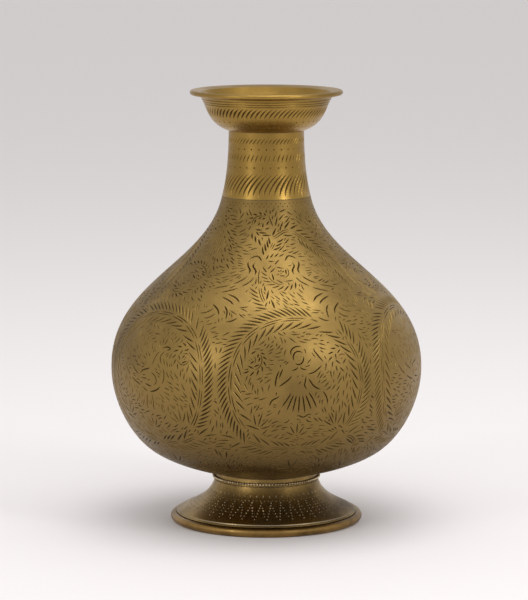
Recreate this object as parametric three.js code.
// Bronze vase: a round body of two raised half shells, a waisted neck, a cup-shaped mouth
// and a flared foot. Millimetres, +Z up. The origin is on the axis, on the surface that
// the vase stands on. Every piece is turned about +Z and meets its neighbour in a real joint.
import * as THREE from 'three';

// Sheet metal and joints
const sheet = 1.5;            // wall of the raised and spun sheet
const lapWall = 1.2;          // wall of the spigots and laps that reach into the next piece
const spigotLength = 7;       // how far the cup's spigot reaches down inside the neck
const slipGap = 0.2;          // radial room between a spigot and its socket
const solderFilm = 0.4;       // thickness of the hard solder between two edges
const turns = 48;             // flat facets round every piece

// Foot
const footHeight = 25;        // standing surface to the top of the collar
const collarRadius = 26;      // outside of the collar under the body
const flareRun = 2.7;         // how far the flare first runs in from its edge
const flareLift = 3.9;        // and how far it climbs there
const collarSpread = 0.7;     // how far the collar has opened where the flare begins
const collarDrop = 14.7;      // and how far below the top of the collar that is
const rimRadius = 49;         // outermost radius of the foot
const rimHalf = 2.3;          // half the thickness of the round rim ring
const rimSides = 12;          // flats round the ring's section, one of them worn flat to stand on
const rimSeatGap = 0.3;       // room between the flare's edge and the ring it is sweated to

// Beaded wire that hides the joint of foot and body
const beadHalf = 0.9;         // half the thickness of the wire
const beadDrop = 2.2;         // centre of the wire below the top of the collar

// Body
const bodyDepth = 54;         // seat on the foot up to the widest girth
const seatRadius = 26.3;      // flat seat under the body
const bellyRadius = 79.1;     // widest girth
const flankDrop = 16.6;       // height that the flank stays upright under the girth
const heelRadius = 57.7;      // where the flank turns into the underside
const heelRise = 11.4;        // height of that turn above the seat
const heelSlope = 0.56;       // slope of the wall there, in radians from level
const heelSweep = 14.5;       // length of the bend on both sides of that turn
const undersideRun = 0.7;     // how far the underside first runs out from the seat
const undersideLift = 0.6;    // and how far it climbs there
const shoulderRise = 87.2;    // widest girth up to the foot of the neck
const shoulderUpright = 42.8; // height that the shoulder stays upright over the girth
const shoulderHollow = 7.9;   // how far the hollow of the shoulder stands out from the throat
const shoulderHollowDrop = 35.1; // and how far below the throat it lies

// Neck
const throatRadius = 22.5;    // outside of the neck where it meets the shoulder
const neckLength = 33;        // shoulder up to the cup
const neckRadius = 19.1;      // outside of the neck under the cup
const neckUpright = 11;       // height that the neck stays upright under the cup
const neckFlare = 0.9;        // how far the neck has opened where its flare begins
const neckFlareRise = 8.5;    // height of that place above the throat

// Cup
const cupRise = 17;           // floor of the cup up to the spring of its lip
const cupFloorRadius = 20.3;  // where the cup's wall leaves the neck
const cupSwell = 9.8;         // how far the bulge stands out from the floor
const cupSwellRise = 4;       // and how high above it
const cupWaistRadius = 29.6;  // pull of the waist under the lip
const cupWaistDrop = 5.9;     // and how far below the lip it lies
const lipSpringRadius = 33.6; // where the lip turns out
const lipRadius = 38.7;       // outermost radius of the lip
const lipRise = 3.1;          // spring of the lip up to its top
const lipHalf = 1.2;          // half the thickness of the lip's rounded edge
const lipDish = 1;            // how far the lip's inner edge lies below its crown

const brass = new THREE.MeshStandardMaterial({ color: 0xa8863f, metalness: 1, roughness: 0.36 });
const darkBrass = new THREE.MeshStandardMaterial({ color: 0x4a3418, metalness: 1, roughness: 0.5 });
const wornBrass = new THREE.MeshStandardMaterial({ color: 0xc79b45, metalness: 1, roughness: 0.3 });
const solder = new THREE.MeshStandardMaterial({ color: 0x6e5a34, metalness: 1, roughness: 0.55 });

const at = (radius, height) => new THREE.Vector2(radius, height);

// Points of one bend, from its first point to its last.
function bend(first, pull, push, last, steps) {
  return new THREE.CubicBezierCurve(first, pull, push, last).getPoints(steps);
}

// The same line moved square to itself, to the left of its run.
function wallAlong(line, thickness) {
  return line.map((point, i) => {
    const before = line[Math.max(i - 1, 0)];
    const after = line[Math.min(i + 1, line.length - 1)];
    const run = after.clone().sub(before).normalize();
    return at(point.x - run.y * thickness, point.y + run.x * thickness);
  });
}

// Points of an arc round a centre, angles in degrees from level outwards.
function arc(radius, height, reach, from, to, steps) {
  return Array.from({ length: steps + 1 }, (_, i) => {
    const angle = THREE.MathUtils.degToRad(from + ((to - from) * i) / steps);
    return at(radius + reach * Math.cos(angle), height + reach * Math.sin(angle));
  });
}

// A turned piece: its outline runs anticlockwise, seen with the radius to the right and
// the height upwards, and closes on itself or on the axis.
function turned(name, outline, material) {
  const closed = outline[0].x === 0 ? outline : [...outline, outline[0].clone()];
  const geometry = new THREE.LatheGeometry(closed, turns);
  geometry.rotateX(Math.PI / 2);
  const mesh = new THREE.Mesh(geometry, material);
  mesh.name = name;
  return mesh;
}

// A flat ring of solder between two edges.
function solderRing(name, inside, outside, height) {
  const outline = [
    at(inside, height),
    at(outside, height),
    at(outside, height + solderFilm),
    at(inside, height + solderFilm),
  ];
  return turned(name, outline, solder);
}

// Heights of the joints
const seatHeight = footHeight + solderFilm;
const girthHeight = seatHeight + bodyDepth;
const shoulderFloor = girthHeight + solderFilm;
const throatHeight = girthHeight + shoulderRise;
const neckFloor = throatHeight + solderFilm;
const neckTop = neckFloor + neckLength;
const cupFloor = neckTop + solderFilm;
const lipSpring = cupFloor + cupRise;
const lipTop = lipSpring + lipRise;

// Flared foot, open below, with its edge laid against the rim ring
const rimReach = rimHalf * Math.cos(Math.PI / rimSides);
const rimCentreRadius = rimRadius - rimReach;
function footShell() {
  const seat = arc(rimCentreRadius, rimReach, rimHalf + rimSeatGap, 157, 107, 3);
  const edge = seat[seat.length - 1];
  const outside = bend(
    edge,
    at(edge.x - flareRun, edge.y + flareLift),
    at(collarRadius + collarSpread, footHeight - collarDrop),
    at(collarRadius, footHeight),
    10,
  );
  const inside = wallAlong(outside, sheet).slice(1).reverse();
  inside[0] = at(collarRadius - sheet, footHeight);
  return turned('foot_shell', [...seat, ...outside.slice(1), ...inside], darkBrass);
}

function footRimRing() {
  const side = 360 / rimSides;
  const section = arc(rimCentreRadius, rimReach, rimHalf, side / 2 - 90, 270 - side / 2, rimSides - 1);
  return turned('foot_rim_ring', section, wornBrass);
}

function beadedWire() {
  const centre = collarRadius + collarSpread / 2 + slipGap + beadHalf;
  return turned('beaded_wire', arc(centre, footHeight - beadDrop, beadHalf, -90, 225, 7), wornBrass);
}

// Outer line of the shoulder, from the girth up to the neck
const shoulderLine = bend(
  at(bellyRadius, shoulderFloor),
  at(bellyRadius, shoulderFloor + shoulderUpright),
  at(throatRadius + shoulderHollow, throatHeight - shoulderHollowDrop),
  at(throatRadius, throatHeight),
  13,
);
const shoulderInside = wallAlong(shoulderLine, sheet);

// Lower half of the body, closed below, with a lap raised to follow the inside of the shoulder
function bowlShell() {
  const heel = at(heelRadius, seatHeight + heelRise);
  const sweep = at(Math.cos(heelSlope) * heelSweep, Math.sin(heelSlope) * heelSweep);
  const underside = bend(
    at(seatRadius, seatHeight),
    at(seatRadius + undersideRun, seatHeight + undersideLift),
    heel.clone().sub(sweep),
    heel,
    6,
  );
  const flank = bend(
    heel,
    heel.clone().add(sweep),
    at(bellyRadius, girthHeight - flankDrop),
    at(bellyRadius, girthHeight),
    7,
  );
  const outside = [...underside, ...flank.slice(1)];
  const inside = wallAlong(outside, sheet).slice(0, -1).reverse();
  const lapFoot = bellyRadius - sheet - slipGap;
  const lapEnd = shoulderInside[1];
  const lap = [
    at(lapFoot, girthHeight),
    at(lapFoot, shoulderFloor),
    at(lapEnd.x - slipGap, lapEnd.y),
    at(lapEnd.x - slipGap - lapWall, lapEnd.y),
    at(lapFoot - lapWall, girthHeight),
  ];
  const floor = at(0, seatHeight + sheet);
  return turned('bowl_shell', [at(0, seatHeight), ...outside, ...lap, ...inside, floor], brass);
}

// Outer line of the waisted neck, from the shoulder up to the cup
const neckLine = bend(
  at(throatRadius, neckFloor),
  at(neckRadius + neckFlare, neckFloor + neckFlareRise),
  at(neckRadius, neckTop - neckUpright),
  at(neckRadius, neckTop),
  6,
);

// Upper half of the body, with a throat raised to follow the inside of the neck
function shoulderShell() {
  const throatEnd = neckLine[1];
  const spigot = [
    at(throatRadius - sheet - slipGap, throatHeight),
    at(throatRadius - sheet - slipGap, neckFloor),
    at(throatEnd.x - sheet - slipGap, throatEnd.y),
    at(throatEnd.x - sheet - slipGap - lapWall, throatEnd.y),
    at(throatRadius - sheet - slipGap - lapWall, throatHeight),
  ];
  const inside = shoulderInside.slice(1, -1).reverse();
  const rim = at(bellyRadius - sheet, shoulderFloor);
  return turned('shoulder_shell', [...shoulderLine, ...spigot, ...inside, rim], brass);
}

// Waisted neck, a plain tube that slides over the throat and takes the cup's spigot
function neckTube() {
  const inside = neckLine.map((point) => at(point.x - sheet, point.y)).reverse();
  return turned('neck_tube', [...neckLine, ...inside], brass);
}

// Cup-shaped mouth with an everted lip and a spigot that goes down inside the neck
function mouthCup() {
  const spigotOutside = neckRadius - sheet - slipGap;
  const spigot = [
    at(spigotOutside - lapWall, cupFloor - spigotLength),
    at(spigotOutside, cupFloor - spigotLength),
    at(spigotOutside, cupFloor),
  ];
  const wall = bend(
    at(cupFloorRadius, cupFloor),
    at(cupFloorRadius + cupSwell, cupFloor + cupSwellRise),
    at(cupWaistRadius, lipSpring - cupWaistDrop),
    at(lipSpringRadius, lipSpring),
    8,
  );
  const edge = arc(lipRadius - lipHalf, lipTop - lipHalf, lipHalf, -80, 90, 4);
  const crown = at(lipSpringRadius - sheet / 2, lipTop - lipDish);
  const inside = wallAlong(wall, sheet).slice(1, -1).reverse();
  const floor = at(spigotOutside - lapWall, cupFloor + sheet);
  return turned('mouth_cup', [...spigot, ...wall, ...edge, crown, ...inside, floor], brass);
}

const vase = new THREE.Group();
vase.add(
  footRimRing(),
  footShell(),
  beadedWire(),
  solderRing('foot_solder_ring', collarRadius - sheet, collarRadius, footHeight),
  bowlShell(),
  solderRing('belly_solder_ring', bellyRadius - sheet, bellyRadius, girthHeight),
  shoulderShell(),
  solderRing('neck_solder_ring', throatRadius - sheet, throatRadius, throatHeight),
  neckTube(),
  solderRing('cup_solder_ring', neckRadius - sheet, neckRadius, neckTop),
  mouthCup(),
);

export default vase;
